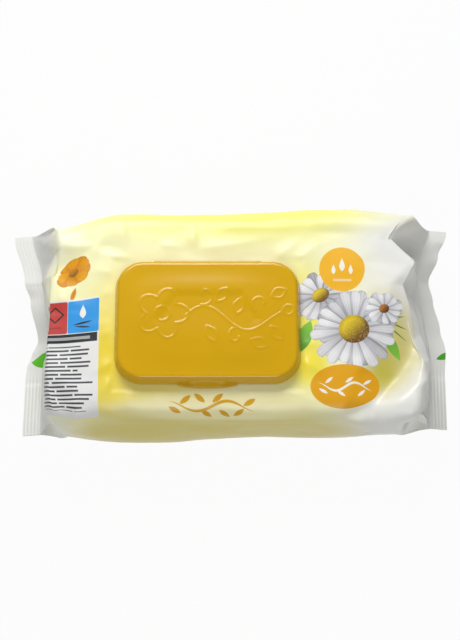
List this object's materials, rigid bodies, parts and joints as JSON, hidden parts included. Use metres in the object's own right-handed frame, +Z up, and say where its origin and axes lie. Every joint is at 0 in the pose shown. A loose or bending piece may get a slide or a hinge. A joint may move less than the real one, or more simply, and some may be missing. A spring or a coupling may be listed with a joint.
{
  "type": "wet wipes pack",
  "caption": "Sealed film pack of folded damp wipes with crimped end fins and a hinged plastic flip lid over its dispensing opening.",
  "frame": {"origin": "on the surface that the pack rests on, under the middle of its outline seen from above", "axes": "+X along the pack, from the end nearer the lid to the other; +Y towards the lid's hinge; +Z up"},
  "size_m": [0.2398, 0.12, 0.0691],
  "materials": {
    "film": "satin printed film, pale lemon fading to white at the ends",
    "frame_plastic": "satin moulded polypropylene, golden yellow",
    "lid_plastic": "satin moulded polypropylene, golden yellow",
    "label": "white peel-back label"
  },
  "bodies": {
    "pack": {"pouch": "film", "lid_frame": "frame_plastic", "peel_seal": "label"},
    "lid": {"lid": "lid_plastic"}
  },
  "joints": [
    {"name": "lid_hinge", "type": "hinge", "parent": "pack", "child": "lid", "pos_m": [-0.0115, 0.0276, 0.0609], "axis": [-1, 0, 0], "range_deg": [0, 110]}
  ]
}
